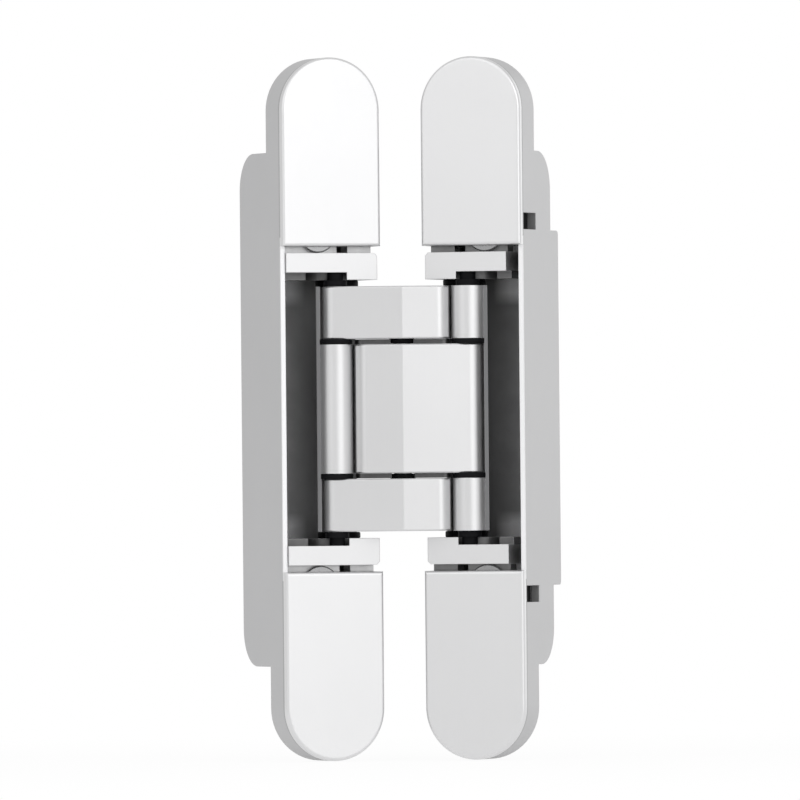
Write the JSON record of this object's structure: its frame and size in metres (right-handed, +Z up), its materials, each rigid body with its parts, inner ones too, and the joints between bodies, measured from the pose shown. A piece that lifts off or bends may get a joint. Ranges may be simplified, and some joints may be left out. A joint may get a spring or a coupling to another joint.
{
  "type": "concealed door hinge",
  "caption": "Concealed hinge: two mortised leaves with round-ended covers, joined by cranked arms that cross like scissors and fold away when the door shuts.",
  "frame": {"origin": "centre of the frame leaf's seat, midway between its screw holes, on the flange's back face", "axes": "+Z up the leaf, +Y into the frame, +X across the frame leaf towards the door leaf"},
  "size_m": [0.0677, 0.0456, 0.16],
  "materials": {
    "satin_cover": "satin silver plating",
    "cast_body": "matt silver on casting",
    "block_metal": "bead-blasted casting",
    "arm_metal": "satin",
    "pin_steel": "ground",
    "black_nylon": "moulded",
    "screw_steel": "zinc plated"
  },
  "bodies": {
    "frame_leaf": {"left_housing": "cast_body", "left_upper_cover": "satin_cover", "left_lower_cover": "satin_cover", "left_upper_block": "block_metal", "left_lower_block": "block_metal", "left_pivot_pin": "pin_steel", "left_bearing_washers": "black_nylon", "left_clamp_screws": "screw_steel", "left_adjusting_screws": "screw_steel", "left_spacer_sleeves": "pin_steel"},
    "inner_arm": {"middle_arm": "arm_metal", "right_guide_pin": "pin_steel", "right_link": "arm_metal", "right_guide_washers": "black_nylon", "right_guide_rollers": "black_nylon"},
    "outer_arms": {"upper_arm": "arm_metal", "lower_arm": "arm_metal", "centre_pin": "pin_steel", "centre_washers": "black_nylon", "left_guide_pin": "pin_steel", "left_link": "arm_metal", "left_guide_washers": "black_nylon", "left_guide_rollers": "black_nylon"},
    "door_leaf": {"right_housing": "cast_body", "right_upper_cover": "satin_cover", "right_lower_cover": "satin_cover", "right_upper_block": "block_metal", "right_lower_block": "block_metal", "right_pivot_pin": "pin_steel", "right_bearing_washers": "black_nylon", "right_clamp_screws": "screw_steel", "right_adjusting_screws": "screw_steel", "right_spacer_sleeve": "pin_steel"}
  },
  "joints": [
    {"name": "frame_pivot", "type": "hinge", "parent": "frame_leaf", "child": "inner_arm", "pos_m": [0.00565, 0.0015, 0], "axis": [0, 0, 1], "range_deg": [-74.59, 22.7]},
    {"name": "centre_pivot", "type": "hinge", "parent": "inner_arm", "child": "outer_arms", "pos_m": [0.01644, -0.01112, 0], "axis": [0, 0, 1], "range_deg": [-3.43, 11.21]},
    {"name": "door_pivot", "type": "hinge", "parent": "outer_arms", "child": "door_leaf", "pos_m": [0.03289, -0.00896, 0], "axis": [0, 0, 1], "range_deg": [-74.59, 22.7]}
  ],
  "couplings": [
    {"joint": "frame_pivot", "follows": "door_pivot", "ratio": 1},
    {"joint": "centre_pivot", "follows": "door_pivot", "ratio": -0.15}
  ]
}
